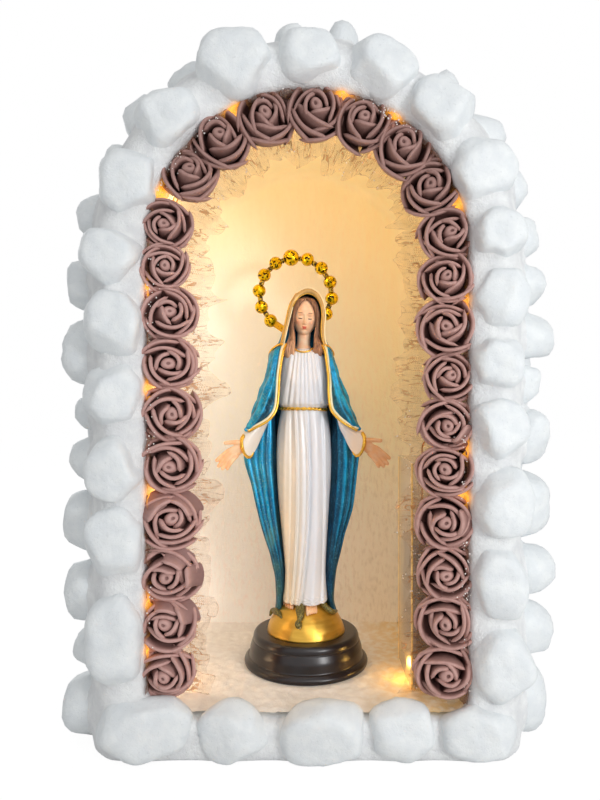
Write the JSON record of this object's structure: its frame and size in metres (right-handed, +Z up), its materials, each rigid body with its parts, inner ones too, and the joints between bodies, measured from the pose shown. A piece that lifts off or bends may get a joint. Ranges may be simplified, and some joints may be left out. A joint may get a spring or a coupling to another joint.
{
  "type": "tabletop grotto shrine",
  "caption": "White pebble-covered plaster niche with a round arch, foam roses and lamps round its mouth, and a robed resin figure on a turned plinth inside.",
  "frame": {"origin": "on the table, on the underside of the floor slab, straight below the figure's axis", "axes": "+Z up, -Y out of the mouth of the niche, +X to the right of someone who faces the niche"},
  "size_m": [0.329, 0.183, 0.478],
  "materials": {
    "plaster": "matt white plaster with a fine sparkle",
    "plaster_lit": "brushed cream plaster",
    "marble": "satin white marble pebble",
    "rose_foam": "matt dusty-mauve foam",
    "tulle": "peach tulle",
    "lamp_wire": "lacquered copper wire",
    "lamp": "clear resin bead, warm light",
    "clear_plastic": "clear",
    "grey_plastic": "satin",
    "dark_wood": "satin dark brown lacquer",
    "gilt": "metallic gold paint",
    "serpent_paint": "dark olive paint on resin",
    "gown_paint": "pearl white paint on resin",
    "mantle_paint": "metallic teal blue paint on resin",
    "skin_paint": "satin flesh paint on resin",
    "hair_paint": "satin brown paint on resin",
    "halo_gold": "mirror gold plating",
    "halo_dark": "aged bronze"
  },
  "bodies": {
    "root": {"floor_slab": "plaster_lit", "left_wall": "plaster", "right_wall": "plaster", "arch_vault": "plaster", "back_panel": "plaster", "rim_pebbles_left": "marble", "rim_pebbles_right": "marble", "rim_pebbles_arch": "marble", "sill_pebbles": "marble", "side_pebbles_left": "marble", "side_pebbles_right": "marble", "crown_pebbles": "marble", "roses_left": "rose_foam", "roses_arch": "rose_foam", "roses_right": "rose_foam", "tulle_band": "tulle", "lamp_wire": "lamp_wire", "lamps": "lamp", "battery_case": "clear_plastic", "battery_pack": "grey_plastic", "plinth": "dark_wood", "globe": "gilt", "serpent": "serpent_paint", "feet": "skin_paint", "gown": "gown_paint", "belt": "gilt", "mantle": "mantle_paint", "head": "skin_paint", "hair": "hair_paint", "left_sleeve": "gown_paint", "right_sleeve": "gown_paint", "left_cuff": "gilt", "right_cuff": "gilt", "left_hand": "skin_paint", "right_hand": "skin_paint", "halo_beads": "halo_gold", "halo_links": "halo_dark", "halo_ends": "halo_gold"}
  },
  "joints": []
}
